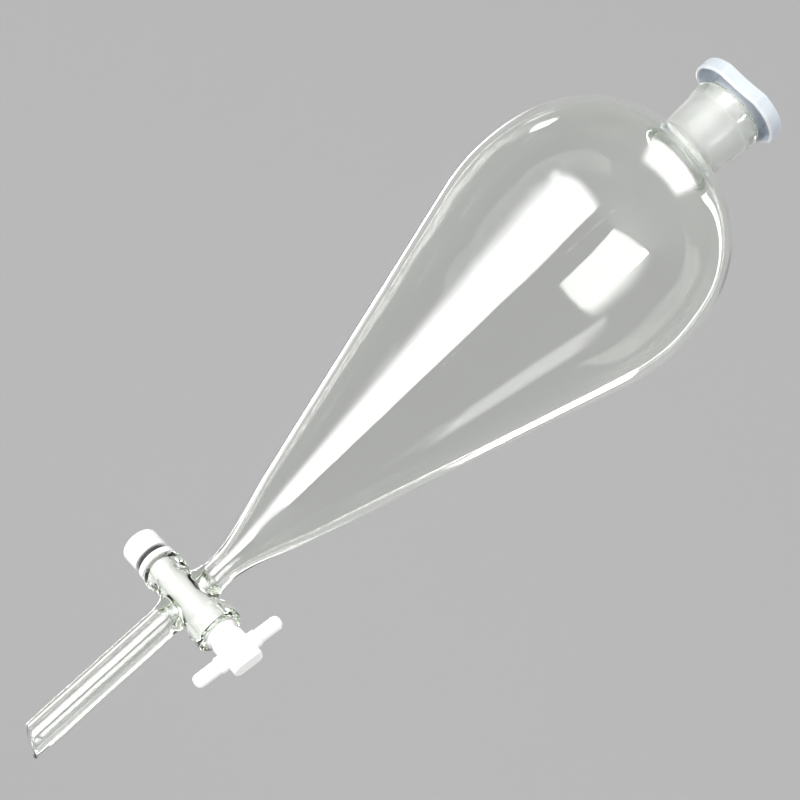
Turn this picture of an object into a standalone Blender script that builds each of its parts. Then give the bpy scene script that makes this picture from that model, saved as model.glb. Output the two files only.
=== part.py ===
"""Separatory funnel: a pear-shaped glass body with a tapered-plug stopcock and a moulded stopper.

The origin is on the funnel's axis, at the height where a support ring holds the cone, and +Z runs
up to the stopper. Everything is in metres.
"""
import math

import bpy
from mathutils import Vector

# Pear bulb. Heights named _Z are measured from the ring seat.
RING_RADIUS = 0.0375
CONE_ANGLE = math.radians(16.1)
BULB_RADIUS = 0.0505
EQUATOR_Z = 0.0557
DOME_HEIGHT = 0.053
DOME_POWER = 2.3
WALL = 0.002
DOME_END_RADIUS = 0.0151
NECK_BASE_Z = 0.1117
NECK_BASE_RADIUS = 0.0125

# Ground socket, taper 1:10 on the diameter
SOCKET_RADIUS = 0.012
SOCKET_TAPER = 0.05
RIM_Z = 0.132
SOCKET_END_Z = 0.1032
COLLAR_Z = 0.1236

# Stopper
STOPPER_BOTTOM_Z = 0.1012
SKIRT_Z = 0.1332
HEAD_TOP_Z = 0.1391
HEAD_CEILING_Z = 0.1376
HEAD_CORNER_RADIUS = 0.0184
HEAD_LOBE_RADIUS = 0.0195
HEAD_GRIP_RADIUS = 0.0163
HEAD_GRIP_ANGLE = math.radians(53)
HEAD_TURN = math.radians(-77.7)
HEAD_WALL = 0.0013
CUP_TOP_RADIUS = 0.0095
CUP_BOTTOM_RADIUS = 0.0081
CUP_BOTTOM_Z = 0.1032

# Stopcock. Its lengths run along +X from the funnel's axis, and its heights from the barrel's axis.
STOPCOCK_Z = -0.1283
BARREL_LARGE_END = 0.01785
BARREL_SMALL_END = -0.0169
ARM_LENGTH = 0.015
TAIL_RADIUS = 0.0052
TAIL_BORE = 0.0032
STEM_RADIUS = 0.00548
STEM_BORE = 0.0033
STEM_LENGTH = 0.0709
TIP_TILT = math.radians(30)
TIP_TURN = math.radians(-129)
PLUG_RADIUS = 0.006
PLUG_TAPER = 0.05
PORT_RADIUS = 0.002
THREAD_RADIUS = 0.004
PLUG_END = -0.0292
HANDLE_X = 0.0272
HANDLE_LENGTH = 0.0362
HANDLE_RADIUS = 0.0026
HANDLE_TURN = math.radians(-12)
BOSS_RADIUS = 0.0031
BOSS_LENGTH = 0.0166
HUB_START = 0.0204
HUB_END = 0.0336
HUB_WIDTH = 0.0117
HUB_DEPTH = 0.0066
NUT_RADIUS = 0.00685
NUT_INNER_END = -0.02185
NUT_OUTER_END = -0.0299
WASHER_RADIUS = 0.0072
WASHER_INNER_END = -0.0172
WASHER_OUTER_END = -0.01945
RING_CORD = 0.0009
RING_MIDDLE = 0.0052
RING_X = -0.02065

GAP = 0.0003
MERGE = 0.000001


def new_collection(name):
    group = bpy.data.collections.new(name)
    bpy.context.scene.collection.children.link(group)
    return group


def make_material(name, color, roughness, transmission=0.0):
    material = bpy.data.materials.new(name)
    material.use_nodes = True
    shader = material.node_tree.nodes["Principled BSDF"]
    shader.inputs["Base Color"].default_value = (*color, 1.0)
    shader.inputs["Roughness"].default_value = roughness
    shader.inputs["Metallic"].default_value = 0.0
    shader.inputs["Transmission Weight"].default_value = transmission
    return material


def hide_tool(tool):
    """A cutter or a shape to be joined: out of the renders, drawn as a wire."""
    tool.hide_render = True
    tool.display_type = "WIRE"
    return tool


def smooth(mesh):
    mesh.shade_smooth()
    mesh.set_sharp_from_angle(angle=math.radians(35))


def turned(name, group, outline, closed=False, steps=40):
    """A turned piece: (radius, height) points, down the outer side and up the bore."""
    mesh = bpy.data.meshes.new(name)
    count = len(outline)
    edges = [(i, i + 1) for i in range(count - 1)]
    if closed:
        edges.append((count - 1, 0))
    mesh.from_pydata([(radius, 0.0, height) for radius, height in outline], edges, [])
    piece = bpy.data.objects.new(name, mesh)
    group.objects.link(piece)
    screw = piece.modifiers.new("turn", "SCREW")
    screw.steps = steps
    screw.render_steps = steps
    screw.use_merge_vertices = True
    screw.merge_threshold = MERGE
    screw.use_smooth_shade = True
    return piece


def prism(name, group, outline, low, high):
    """A flat outline with a thickness, made from a filled curve and turned into a mesh."""
    curve = bpy.data.curves.new(name, "CURVE")
    curve.dimensions = "2D"
    curve.fill_mode = "BOTH"
    curve.extrude = (high - low) / 2
    spline = curve.splines.new("POLY")
    spline.points.add(len(outline) - 1)
    for point, (x, y) in zip(spline.points, outline):
        point.co = (x, y, 0.0, 1.0)
    spline.use_cyclic_u = True
    flat = bpy.data.objects.new(name + "_outline", curve)
    group.objects.link(flat)
    mesh = bpy.data.meshes.new_from_object(flat.evaluated_get(bpy.context.evaluated_depsgraph_get()))
    bpy.data.objects.remove(flat)
    piece = bpy.data.objects.new(name, mesh)
    piece.location.z = (low + high) / 2
    group.objects.link(piece)
    weld = piece.modifiers.new("weld", "WELD")
    weld.merge_threshold = MERGE
    return piece


def box(name, group, size, location):
    bpy.ops.mesh.primitive_cube_add(size=1.0)
    piece = bpy.context.object
    piece.name = name
    for vertex in piece.data.vertices:
        vertex.co = Vector(vertex.co[i] * size[i] for i in range(3))
    piece.location = location
    move_to(piece, group)
    return piece


def move_to(piece, group):
    for old in list(piece.users_collection):
        old.objects.unlink(piece)
    group.objects.link(piece)


def bevel(piece, width, segments):
    edge = piece.modifiers.new("round", "BEVEL")
    edge.width = width
    edge.segments = segments
    edge.limit_method = "ANGLE"


def combine(piece, tool, operation):
    change = piece.modifiers.new(operation.lower() + "_" + tool.name, "BOOLEAN")
    change.operation = operation
    change.object = tool
    change.solver = "EXACT"


def arc(center, radius, start, end, count):
    """Points along an arc of a profile, from one angle to the other, in degrees."""
    points = []
    for i in range(count + 1):
        angle = math.radians(start + (end - start) * i / count)
        points.append((center[0] + radius * math.cos(angle), center[1] + radius * math.sin(angle)))
    return points


def bezier(a, b, c, d, count):
    points = []
    for i in range(count + 1):
        t = i / count
        weights = ((1 - t) ** 3, 3 * t * (1 - t) ** 2, 3 * t * t * (1 - t), t ** 3)
        points.append(tuple(sum(w * p[k] for w, p in zip(weights, (a, b, c, d))) for k in range(2)))
    return points


def cone_radius(height):
    """The cone's outer radius at a height above the ring seat."""
    return RING_RADIUS + height * math.tan(CONE_ANGLE)


def socket_radius(height):
    """The ground socket's inner radius at a height above the ring seat."""
    return SOCKET_RADIUS - SOCKET_TAPER * (RIM_Z - height)


def pear_side(inset, dome_steps):
    """The pear's side from the shoulder down to the tail: dome, tangent arc, then straight cone."""
    widest = BULB_RADIUS - inset
    height = DOME_HEIGHT - inset
    end = math.acos(((DOME_END_RADIUS) / widest) ** (DOME_POWER / 2))
    points = []
    for i in range(dome_steps + 1):
        u = end * (1 - i / dome_steps)
        radius = widest * math.cos(u) ** (2 / DOME_POWER)
        points.append((radius, EQUATOR_Z + height * math.sin(u) ** (2 / DOME_POWER)))
    overshoot = cone_radius(EQUATOR_Z) - BULB_RADIUS
    arc_radius = overshoot * math.cos(CONE_ANGLE) / (1 - math.cos(CONE_ANGLE))
    center = (BULB_RADIUS - arc_radius, EQUATOR_Z)
    points += arc(center, arc_radius - inset, 0, -math.degrees(CONE_ANGLE), 4)[1:]
    return points


def pear_bulb(group, material):
    """The bulb runs from the socket's seam down to the seam on the stopcock's upper arm."""
    seam = STOPCOCK_Z + ARM_LENGTH + GAP
    mid = STOPCOCK_Z + 0.038
    cone_start = STOPCOCK_Z + 0.049
    wall = WALL / math.cos(CONE_ANGLE)
    outer = [(NECK_BASE_RADIUS, NECK_BASE_Z)]
    outer += arc((DOME_END_RADIUS, NECK_BASE_Z - 0.0018), 0.0026, 180, 270, 3)[:-1]
    outer += pear_side(0.0, 11)
    outer += bezier(
        (cone_radius(cone_start), cone_start),
        (cone_radius(mid), mid),
        (TAIL_RADIUS + 0.0006, STOPCOCK_Z + 0.025),
        (TAIL_RADIUS, seam),
        6,
    )
    inner = bezier(
        (TAIL_BORE, seam),
        (TAIL_BORE + 0.0002, STOPCOCK_Z + 0.027),
        (cone_radius(mid) - wall, mid),
        (cone_radius(cone_start) - wall, cone_start),
        6,
    )
    inner += reversed(pear_side(WALL, 11))
    inner += [(0.0124, 0.1044), (0.0112, SOCKET_END_Z), (socket_radius(0.1036), 0.1036)]
    inner += [(socket_radius(NECK_BASE_Z), NECK_BASE_Z)]
    bulb = turned("pear_bulb", group, outer + inner, closed=True, steps=48)
    bulb.data.materials.append(material)


def neck_socket(group, material):
    """The ground-joint socket, from its seam on the shoulder up to its flared rim."""
    bottom = NECK_BASE_Z + GAP
    outline = [
        (0.0143, RIM_Z),
        (0.0152, RIM_Z - 0.0004),
        (0.0155, RIM_Z - 0.0014),
        (0.015, COLLAR_Z + 0.0034),
        (0.0146, COLLAR_Z + 0.0013),
        (0.0137, COLLAR_Z),
        (NECK_BASE_RADIUS + 0.0003, bottom + 0.002),
        (NECK_BASE_RADIUS, bottom),
        (socket_radius(bottom), bottom),
        (socket_radius(RIM_Z - 0.0005), RIM_Z - 0.0005),
        (SOCKET_RADIUS + 0.0005, RIM_Z),
    ]
    socket = turned("neck_socket", group, outline, closed=True, steps=48)
    socket.data.materials.append(material)


def three_point_arc(start, middle, end, count):
    """Points on the circle through three points, without the last one."""
    ax, ay = start
    bx, by = middle
    cx, cy = end
    d = 2 * (ax * (by - cy) + bx * (cy - ay) + cx * (ay - by))
    a2, b2, c2 = ax * ax + ay * ay, bx * bx + by * by, cx * cx + cy * cy
    ux = (a2 * (by - cy) + b2 * (cy - ay) + c2 * (ay - by)) / d
    uy = (a2 * (cx - bx) + b2 * (ax - cx) + c2 * (bx - ax)) / d
    radius = math.hypot(ax - ux, ay - uy)
    first = math.atan2(ay - uy, ax - ux)
    sweep = math.atan2(cy - uy, cx - ux) - first
    sweep = (sweep + math.pi) % (2 * math.pi) - math.pi
    angles = [first + sweep * i / count for i in range(count)]
    return [(ux + radius * math.cos(a), uy + radius * math.sin(a)) for a in angles]


def head_outline(inset):
    """Three hollow finger grips between three rounded lobes, counter-clockwise."""
    def at(radius, angle):
        return (radius - inset) * math.cos(angle), (radius - inset) * math.sin(angle)

    points = []
    lobe_half = (math.tau / 3 - HEAD_GRIP_ANGLE) / 2
    for i in range(3):
        grip = HEAD_TURN + i * math.tau / 3
        first = at(HEAD_CORNER_RADIUS, grip - HEAD_GRIP_ANGLE / 2)
        second = at(HEAD_CORNER_RADIUS, grip + HEAD_GRIP_ANGLE / 2)
        third = at(HEAD_CORNER_RADIUS, grip + math.tau / 3 - HEAD_GRIP_ANGLE / 2)
        points += three_point_arc(first, at(HEAD_GRIP_RADIUS, grip), second, 6)
        lobe = grip + HEAD_GRIP_ANGLE / 2 + lobe_half
        points += three_point_arc(second, at(HEAD_LOBE_RADIUS, lobe), third, 7)
    return points


def stopper(group, tools, material):
    """A lobed cap with a skirt, on a hollow tapered plug that is open at the top."""
    head = prism("stopper", group, head_outline(0.0), SKIRT_Z, HEAD_TOP_Z)
    bevel(head, 0.0005, 2)
    recess = prism("stopper_recess", tools, head_outline(HEAD_WALL), SKIRT_Z - 0.001, HEAD_CEILING_Z)
    top = HEAD_CEILING_Z + 0.0006
    bottom = STOPPER_BOTTOM_Z
    plug_outline = [
        (0.0, top),
        (socket_radius(top) - GAP, top),
        (socket_radius(bottom) - GAP, bottom + 0.0008),
        (socket_radius(bottom) - GAP - 0.0008, bottom),
        (0.0, bottom),
    ]
    plug = turned("stopper_cone", tools, plug_outline, steps=36)
    cup_outline = [
        (0.0, HEAD_TOP_Z + 0.001),
        (CUP_TOP_RADIUS, HEAD_TOP_Z + 0.001),
        (CUP_BOTTOM_RADIUS, CUP_BOTTOM_Z + 0.001),
        (CUP_BOTTOM_RADIUS - 0.001, CUP_BOTTOM_Z),
        (0.0, CUP_BOTTOM_Z),
    ]
    cup = turned("stopper_cup", tools, cup_outline, steps=36)
    for tool, operation in ((recess, "DIFFERENCE"), (plug, "UNION"), (cup, "DIFFERENCE")):
        combine(head, hide_tool(tool), operation)
    head.data.materials.append(material)


def side_arms(tools):
    """The two arms as one upright spindle, flared where they are melted onto the barrel."""
    outline = [
        (0.0, ARM_LENGTH),
        (TAIL_RADIUS, ARM_LENGTH),
        (TAIL_RADIUS, 0.0118),
        (0.0057, 0.0093),
        (0.0065, 0.0073),
        (0.0048, 0.004),
        (0.0048, -0.004),
        (0.0066, -0.0073),
        (0.0059, -0.0093),
        (STEM_RADIUS, -0.0118),
        (STEM_RADIUS, -ARM_LENGTH),
        (0.0, -ARM_LENGTH),
    ]
    arms = turned("barrel_arms", tools, outline, steps=32)
    arms.location.z = STOPCOCK_Z
    return hide_tool(arms)


def arm_bores(tools):
    """The flow path: the arms' bores, narrowing to the ports in the barrel's wall."""
    past_end = ARM_LENGTH + 0.001
    port = PORT_RADIUS + 0.0002
    outline = [
        (0.0, past_end),
        (TAIL_BORE, past_end),
        (TAIL_BORE, 0.0096),
        (port, 0.0078),
        (port, -0.0078),
        (STEM_BORE, -0.0096),
        (STEM_BORE, -past_end),
        (0.0, -past_end),
    ]
    bores = turned("barrel_ports", tools, outline, steps=24)
    bores.location.z = STOPCOCK_Z
    return hide_tool(bores)


def plug_radius(x):
    """The tapered plug's radius at a distance along the stopcock."""
    return PLUG_RADIUS - PLUG_TAPER * (BARREL_LARGE_END - x)


def stopcock_barrel(group, tools, axis, material):
    """The glass shell: thick beads at both ends, a waist between, and a tapered bore."""
    outline = [
        (0.0078, BARREL_LARGE_END),
        (0.0087, 0.0171),
        (0.0089, 0.0157),
        (0.0087, 0.0114),
        (0.0083, 0.0101),
        (0.0075, 0.0089),
        (0.0071, 0.0),
        (0.0068, -0.0087),
        (0.0072, -0.0098),
        (0.0076, -0.0106),
        (0.0076, -0.0158),
        (0.0073, -0.0166),
        (0.0067, BARREL_SMALL_END),
        (plug_radius(BARREL_SMALL_END) + GAP, BARREL_SMALL_END),
        (plug_radius(0.0156) + GAP, 0.0156),
        (0.0069, BARREL_LARGE_END),
    ]
    barrel = turned("stopcock_barrel", group, outline, closed=True, steps=40)
    barrel.parent = axis
    bore_outline = [
        (0.0, 0.0156),
        (plug_radius(0.0156) + GAP, 0.0156),
        (plug_radius(BARREL_SMALL_END) + GAP, BARREL_SMALL_END),
        (0.0, BARREL_SMALL_END),
    ]
    bore = turned("barrel_bore", tools, bore_outline, steps=40)
    bore.parent = axis
    combine(barrel, side_arms(tools), "UNION")
    combine(barrel, hide_tool(bore), "DIFFERENCE")
    combine(barrel, arm_bores(tools), "DIFFERENCE")
    barrel.data.materials.append(material)


def stem(group, tools, material):
    """The outlet tube below the stopcock, with its tip cut on a slant."""
    top = -ARM_LENGTH - GAP
    bottom = -STEM_LENGTH - 0.006
    outline = [(STEM_RADIUS, top), (STEM_RADIUS, bottom), (STEM_BORE, bottom), (STEM_BORE, top)]
    tube = turned("stem", group, outline, closed=True, steps=32)
    tube.location.z = STOPCOCK_Z
    depth = 0.03
    slope = Vector((math.cos(TIP_TURN), math.sin(TIP_TURN), 0.0)) * math.sin(TIP_TILT)
    down = slope + Vector((0.0, 0.0, -math.cos(TIP_TILT)))
    tip = Vector((0.0, 0.0, STOPCOCK_Z - STEM_LENGTH))
    slice_box = box("stem_tip_cut", tools, (depth, depth, depth), tip + down * depth / 2)
    slice_box.rotation_mode = "QUATERNION"
    slice_box.rotation_quaternion = down.to_track_quat("Z", "Y")
    combine(tube, hide_tool(slice_box), "DIFFERENCE")
    tube.data.materials.append(material)


def rod_outline(radius, length, dome):
    half = length / 2
    outline = [(0.0, half)]
    outline += [(radius - dome + x, half - dome + z) for x, z in reversed(arc((0, 0), dome, 0, 90, 4))]
    return outline + [(x, -z) for x, z in reversed(outline)]


def stopcock_plug(group, tools, axis, material):
    """The tapered plug with its cross port, threaded end, hub and cross handle, all one piece."""
    outline = [
        (0.0, HUB_START + 0.002),
        (0.0052, HUB_START + 0.002),
        (0.0052, 0.0189),
        (plug_radius(0.0183), 0.0183),
        (plug_radius(BARREL_SMALL_END), BARREL_SMALL_END),
        (THREAD_RADIUS, -0.0173),
        (THREAD_RADIUS, PLUG_END + 0.0005),
        (THREAD_RADIUS - 0.0005, PLUG_END),
        (0.0, PLUG_END),
    ]
    plug = turned("stopcock_plug", group, outline, steps=36)
    hub_size = (HUB_WIDTH, HUB_DEPTH, HUB_END - HUB_START)
    hub = box("plug_hub", tools, hub_size, (0.0, 0.0, (HUB_START + HUB_END) / 2))
    bevel(hub, 0.0012, 3)
    boss = turned("plug_boss", tools, rod_outline(BOSS_RADIUS, BOSS_LENGTH, 0.0003), steps=24)
    rod = turned("plug_handle", tools, rod_outline(HANDLE_RADIUS, HANDLE_LENGTH, 0.0021), steps=24)
    port = turned("plug_port", tools, rod_outline(PORT_RADIUS, 0.02, 0.0001), steps=24)
    for tool, x in ((boss, HANDLE_X), (rod, HANDLE_X), (port, 0.0)):
        tool.location.z = x
        tool.rotation_euler.y = math.pi / 2
    for tool, operation in ((port, "DIFFERENCE"), (hub, "UNION"), (boss, "UNION"), (rod, "UNION")):
        tool.parent = plug
        combine(plug, hide_tool(tool), operation)
    plug.parent = axis
    plug.rotation_euler.z = HANDLE_TURN
    plug.data.materials.append(material)


def washer(group, axis, material):
    bore = THREAD_RADIUS + GAP
    outline = [
        (WASHER_RADIUS, WASHER_INNER_END),
        (WASHER_RADIUS, WASHER_OUTER_END + 0.0002),
        (WASHER_RADIUS - 0.0002, WASHER_OUTER_END),
        (bore, WASHER_OUTER_END),
        (bore + 0.0002, WASHER_INNER_END),
    ]
    ring = turned("washer", group, outline, closed=True, steps=36)
    ring.parent = axis
    ring.data.materials.append(material)


def o_ring(group, axis, material):
    bpy.ops.mesh.primitive_torus_add(
        major_radius=RING_MIDDLE, minor_radius=RING_CORD, major_segments=36, minor_segments=10
    )
    ring = bpy.context.object
    ring.name = "o_ring"
    move_to(ring, group)
    ring.parent = axis
    ring.location.z = RING_X
    smooth(ring.data)
    ring.data.materials.append(material)


def retaining_nut(group, axis, material):
    """The round nut; its bore clears the plug's thread."""
    bore = THREAD_RADIUS + GAP
    outline = [
        (NUT_RADIUS - 0.0004, NUT_INNER_END),
        (NUT_RADIUS, NUT_INNER_END - 0.0004),
        (NUT_RADIUS, NUT_OUTER_END + 0.0008),
        (NUT_RADIUS - 0.0003, NUT_OUTER_END + 0.0003),
        (NUT_RADIUS - 0.0009, NUT_OUTER_END),
        (bore + 0.0005, NUT_OUTER_END),
        (bore, NUT_OUTER_END + 0.0005),
        (bore, NUT_INNER_END - 0.0005),
        (bore + 0.0005, NUT_INNER_END),
    ]
    nut = turned("retaining_nut", group, outline, closed=True, steps=36)
    nut.parent = axis
    nut.data.materials.append(material)


def main():
    for old in list(bpy.data.objects):
        bpy.data.objects.remove(old)
    group = new_collection("separatory_funnel")
    tools = new_collection("cutters")

    glass = make_material("borosilicate_glass", (0.93, 0.97, 0.93), 0.02, transmission=1.0)
    ground_glass = make_material("ground_glass", (0.86, 0.88, 0.87), 0.45, transmission=0.6)
    ptfe = make_material("white_ptfe", (0.93, 0.93, 0.92), 0.35)
    polyethylene = make_material("clear_polyethylene", (0.80, 0.85, 0.90), 0.4, transmission=0.2)
    rubber = make_material("black_rubber", (0.02, 0.02, 0.02), 0.6)

    axis = bpy.data.objects.new("stopcock_axis", None)
    axis.location.z = STOPCOCK_Z
    axis.rotation_euler.y = math.pi / 2
    group.objects.link(axis)

    pear_bulb(group, glass)
    neck_socket(group, ground_glass)
    stopper(group, tools, polyethylene)
    stopcock_barrel(group, tools, axis, glass)
    stem(group, tools, glass)
    stopcock_plug(group, tools, axis, ptfe)
    washer(group, axis, ptfe)
    o_ring(group, axis, rubber)
    retaining_nut(group, axis, ptfe)


main()
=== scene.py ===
import math

import bmesh
import bpy
import numpy as np
from mathutils import Matrix, Quaternion, Vector


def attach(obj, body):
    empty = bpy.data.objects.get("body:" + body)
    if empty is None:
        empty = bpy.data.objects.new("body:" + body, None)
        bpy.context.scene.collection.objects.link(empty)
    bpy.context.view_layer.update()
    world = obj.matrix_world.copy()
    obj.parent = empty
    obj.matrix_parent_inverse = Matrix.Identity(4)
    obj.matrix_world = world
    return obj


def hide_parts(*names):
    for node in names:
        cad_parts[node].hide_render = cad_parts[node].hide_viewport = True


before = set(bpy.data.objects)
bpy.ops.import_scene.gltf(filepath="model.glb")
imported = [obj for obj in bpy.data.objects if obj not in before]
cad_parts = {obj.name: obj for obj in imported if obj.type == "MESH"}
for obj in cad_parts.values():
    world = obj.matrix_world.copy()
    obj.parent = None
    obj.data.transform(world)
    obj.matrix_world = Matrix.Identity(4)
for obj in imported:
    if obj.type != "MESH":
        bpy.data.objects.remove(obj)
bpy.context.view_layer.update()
print("frame loaded:", ", ".join(sorted(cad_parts)))

# the origin is where the support ring holds the cone; +Z runs up to the stopper
stopcockZ = -0.1283


def arcPoints(center, radius, start, end, count):
    angles = np.radians(np.linspace(start, end, count + 1))
    return [(center[0] + radius * math.cos(a), center[1] + radius * math.sin(a)) for a in angles]


def bezierPoints(a, b, c, d, count):
    t = np.linspace(0, 1, count + 1)[:, None]
    a, b, c, d = (np.array(p) for p in (a, b, c, d))
    curve = (1 - t) ** 3 * a + 3 * t * (1 - t) ** 2 * b + 3 * t * t * (1 - t) * c + t ** 3 * d
    return [tuple(p) for p in curve]


def softened(points, reach, steps=5):
    # every inner corner becomes a short curve that starts and ends this far from it
    made = [points[0]]
    for before, corner, after in zip(points, points[1:], points[2:]):
        p, q, r = (np.array(v) for v in (before, corner, after))
        inLength, outLength = np.linalg.norm(q - p), np.linalg.norm(r - q)
        a = q + (p - q) / inLength * min(reach, inLength * 0.45)
        b = q + (r - q) / outLength * min(reach, outLength * 0.45)
        for t in np.linspace(0, 1, steps + 1):
            made.append(tuple((1 - t) ** 2 * a + 2 * t * (1 - t) * q + t * t * b))
    return made + [points[-1]]


def spaced(points, spacing):
    # adds points so that none is further than this from the next
    made = [points[0]]
    for p, q in zip(points, points[1:]):
        count = max(1, math.ceil(math.dist(p, q) / spacing))
        for i in range(1, count + 1):
            made.append((p[0] + (q[0] - p[0]) * i / count, p[1] + (q[1] - p[1]) * i / count))
    return made


def turnedRows(outline, steps):
    # one ring of points for each (radius, height) of an outline
    angles = np.linspace(0, math.tau, steps, endpoint=False)
    outline = np.array(outline)
    rows = np.empty((len(outline), steps, 3))
    rows[:, :, 0] = outline[:, :1] * np.cos(angles)
    rows[:, :, 1] = outline[:, :1] * np.sin(angles)
    rows[:, :, 2] = outline[:, 1:]
    return rows


def rowFaces(rowCount, steps, first=0, closed=False):
    faces = []
    for i in range(rowCount if closed else rowCount - 1):
        low, high = first + i * steps, first + (i + 1) % rowCount * steps
        for j in range(steps):
            k = (j + 1) % steps
            faces.append((low + j, low + k, high + k, high + j))
    return faces


def makePiece(name, points, faces, material):
    # a closed piece with its faces pointing outwards
    mesh = bpy.data.meshes.new(name)
    mesh.from_pydata([tuple(p) for p in points], [], faces)
    mesh.materials.append(material)
    work = bmesh.new()
    work.from_mesh(mesh)
    bmesh.ops.recalc_face_normals(work, faces=work.faces)
    if work.calc_volume(signed=True) < 0:
        bmesh.ops.reverse_faces(work, faces=work.faces)
    openEdges = sum(1 for e in work.edges if len(e.link_faces) != 2)
    work.to_mesh(mesh)
    work.free()
    mesh.shade_smooth()
    piece = bpy.data.objects.new(name, mesh)
    bpy.context.scene.collection.objects.link(piece)
    print(f"{name}: {len(mesh.polygons)} faces, {openEdges} open edges")
    return piece


def outlineDistance(r, x, outline):
    # signed distance to a closed outline mirrored about the axis, negative inside
    outline = list(outline) + [(-a, b) for a, b in reversed(outline)]
    nearest = np.full(r.shape, 1e9)
    inside = np.zeros(r.shape, bool)
    for (ar, ax), (br, bx) in zip(outline, outline[1:] + outline[:1]):
        er, ex = br - ar, bx - ax
        length = er * er + ex * ex
        if length < 1e-18:
            continue
        t = np.clip(((r - ar) * er + (x - ax) * ex) / length, 0, 1)
        nearest = np.minimum(nearest, (r - ar - er * t) ** 2 + (x - ax - ex * t) ** 2)
        crosses = (ax > x) != (bx > x)
        if ex != 0:
            inside ^= crosses & (r < ar + (x - ax) / ex * er)
    return np.sqrt(nearest) * np.where(inside, -1, 1)


def melt(a, b, reach):
    # the smaller of two distances, with a fillet where they meet
    h = np.clip(0.5 + 0.5 * (b - a) / reach, 0, 1)
    return b + (a - b) * h - reach * h * (1 - h)


def carve(a, b, reach):
    return -melt(-a, b, reach)


def ripple(points, wavelength, seed):
    # smooth waves of about this length, between -1 and 1
    chance = np.random.default_rng(seed)
    total = np.zeros(len(points))
    for i in range(7):
        direction = chance.normal(size=3)
        direction *= math.tau / wavelength / np.linalg.norm(direction) * chance.uniform(0.7, 1.3)
        total += np.sin(points @ direction + chance.uniform(0, math.tau))
    return total / 4


def skin(field, low, high, step):
    # points and faces on the zero surface of a distance field, one point for each cell it crosses
    low, high = np.array(low), np.array(high)
    shape = np.ceil((high - low) / step).astype(int) + 1
    grid = np.stack(np.meshgrid(*(np.arange(n) for n in shape), indexing="ij"), -1)
    values = field(low + grid.reshape(-1, 3) * step).reshape(shape)
    total = np.zeros((*(shape - 1), 3))
    count = np.zeros(shape - 1)
    crossings = []
    for axis in range(3):
        others = [i for i in range(3) if i != axis]
        a = np.take(values, range(shape[axis] - 1), axis)
        b = np.take(values, range(1, shape[axis]), axis)
        crossed = (a < 0) != (b < 0)
        where = np.argwhere(crossed)
        spot = where.astype(float)
        spot[:, axis] += a[crossed] / (a[crossed] - b[crossed])
        crossings.append((axis, where))
        for i in (0, 1):
            for j in (0, 1):
                cell = where.copy()
                cell[:, others[0]] -= i
                cell[:, others[1]] -= j
                fits = np.all((cell >= 0) & (cell < shape - 1), axis=1)
                index = tuple(cell[fits].T)
                np.add.at(total, index, spot[fits])
                np.add.at(count, index, 1)
    used = count > 0
    number = np.full(shape - 1, -1)
    number[used] = np.arange(used.sum())
    points = low + total[used] / count[used][:, None] * step
    faces = []
    for axis, where in crossings:
        others = [i for i in range(3) if i != axis]
        corners = []
        for i, j in ((1, 1), (0, 1), (0, 0), (1, 0)):
            cell = where.copy()
            cell[:, others[0]] -= i
            cell[:, others[1]] -= j
            corners.append(cell)
        fits = np.all([np.all((c >= 0) & (c < shape - 1), axis=1) for c in corners], axis=0)
        quads = np.stack([number[tuple(c[fits].T)] for c in corners], -1)
        faces += quads.tolist()
    small = step * 0.05
    for _ in range(4):  # each pass pulls the points closer to the true surface
        value = field(points)
        slope = np.stack([
            field(points + small * e) - field(points - small * e) for e in np.eye(3)], -1)
        slope /= 2 * small
        size = np.maximum((slope ** 2).sum(1), 0.05)
        points -= np.clip(value / size, -step, step)[:, None] * slope * 0.9
    return points, faces


def mathNode(tree, operation, a, b=None):
    node = tree.nodes.new("ShaderNodeMath")
    node.operation = operation
    for socket, value in zip(node.inputs, (a, b)):
        if isinstance(value, (int, float)):
            socket.default_value = value
        elif value is not None:
            tree.links.new(value, socket)
    return node.outputs[0]


def newMaterial(name, color, roughness, ior=1.5, transmission=0.0):
    material = bpy.data.materials.new(name)
    material.use_nodes = True
    shader = material.node_tree.nodes["Principled BSDF"]
    shader.inputs["Base Color"].default_value = (*color, 1)
    shader.inputs["Roughness"].default_value = roughness
    shader.inputs["IOR"].default_value = ior
    shader.inputs["Transmission Weight"].default_value = transmission
    return material, shader


def noiseNode(material, scale, detail=3.0, stretch=(1, 1, 1)):
    tree = material.node_tree
    coordinate = tree.nodes.new("ShaderNodeTexCoord")
    mapping = tree.nodes.new("ShaderNodeMapping")
    mapping.inputs["Scale"].default_value = stretch
    noise = tree.nodes.new("ShaderNodeTexNoise")
    noise.inputs["Scale"].default_value = scale
    noise.inputs["Detail"].default_value = detail
    tree.links.new(coordinate.outputs["Object"], mapping.inputs["Vector"])
    tree.links.new(mapping.outputs["Vector"], noise.inputs["Vector"])
    return noise.outputs["Fac"]


def rangeNode(material, source, low, high, fromLow=0.3, fromHigh=0.7):
    node = material.node_tree.nodes.new("ShaderNodeMapRange")
    node.inputs["From Min"].default_value = fromLow
    node.inputs["From Max"].default_value = fromHigh
    node.inputs["To Min"].default_value = low
    node.inputs["To Max"].default_value = high
    material.node_tree.links.new(source, node.inputs["Value"])
    return node.outputs["Result"]


def mixNode(material, source, first, second):
    node = material.node_tree.nodes.new("ShaderNodeMix")
    node.data_type = "RGBA"
    node.inputs[6].default_value = (*first, 1)
    node.inputs[7].default_value = (*second, 1)
    material.node_tree.links.new(source, node.inputs[0])
    return node.outputs[2]


def blendNode(material, share, first, second):
    # a number that goes from the first to the second as the share goes from 0 to 1
    node = material.node_tree.nodes.new("ShaderNodeMix")
    inputs = node.inputs
    for socket, value in ((inputs[0], share), (inputs[2], first), (inputs[3], second)):
        if isinstance(value, (int, float)):
            socket.default_value = value
        else:
            material.node_tree.links.new(value, socket)
    return node.outputs[0]


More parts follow.
